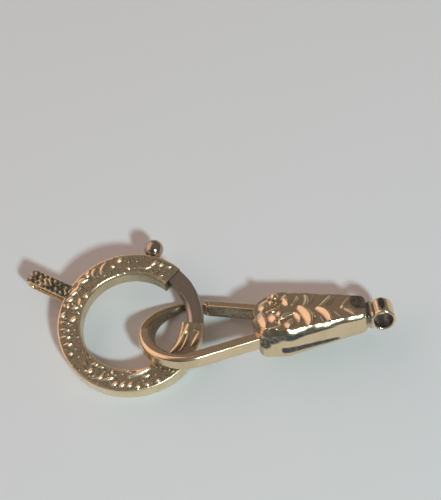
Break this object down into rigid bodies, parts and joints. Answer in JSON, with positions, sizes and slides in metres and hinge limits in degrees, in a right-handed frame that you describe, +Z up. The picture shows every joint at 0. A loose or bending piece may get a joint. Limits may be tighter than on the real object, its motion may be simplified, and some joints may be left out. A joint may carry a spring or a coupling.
{
  "type": "snap hook with bolt ring",
  "caption": "Two-part chain closure: an engraved open ring with a sliding bolt and side bail, linked with a flower-chased snap hook with a swinging gate and an end eye.",
  "frame": {"origin": "middle of the part's footprint, on the table that it lies on", "axes": "+X along the closure from the ring's bail to the hook's end eye, +Y away from the viewer, +Z up"},
  "size_m": [0.0346, 0.0156, 0.005],
  "materials": {
    "ring_gold": "yellow gold, chased top face with dark recesses",
    "hook_gold": "yellow gold, cast and chased, polished sides, dark recesses",
    "polished_gold": "polished yellow gold with fine wear"
  },
  "bodies": {
    "root": {"ring_tube": "ring_gold", "hook_body": "hook_gold", "gate_pin": "polished_gold"},
    "bolt": {"ring_bolt": "polished_gold"},
    "gate": {"hook_gate": "polished_gold"}
  },
  "joints": [
    {"name": "bolt_slide", "type": "hinge", "parent": "root", "child": "bolt", "pos_m": [-0.00722, -0.00063, 0.0008], "axis": [-0.0052, -0.1201, 0.9927], "range_deg": [0, 55], "stiffness_Nm_per_rad": 0.0005},
    {"name": "gate_hinge", "type": "hinge", "parent": "root", "child": "gate", "pos_m": [0.00646, -0.00129, 0.00159], "axis": [0, 0.3827, 0.9239], "range_deg": [0, 25], "stiffness_Nm_per_rad": 0.0003}
  ]
}
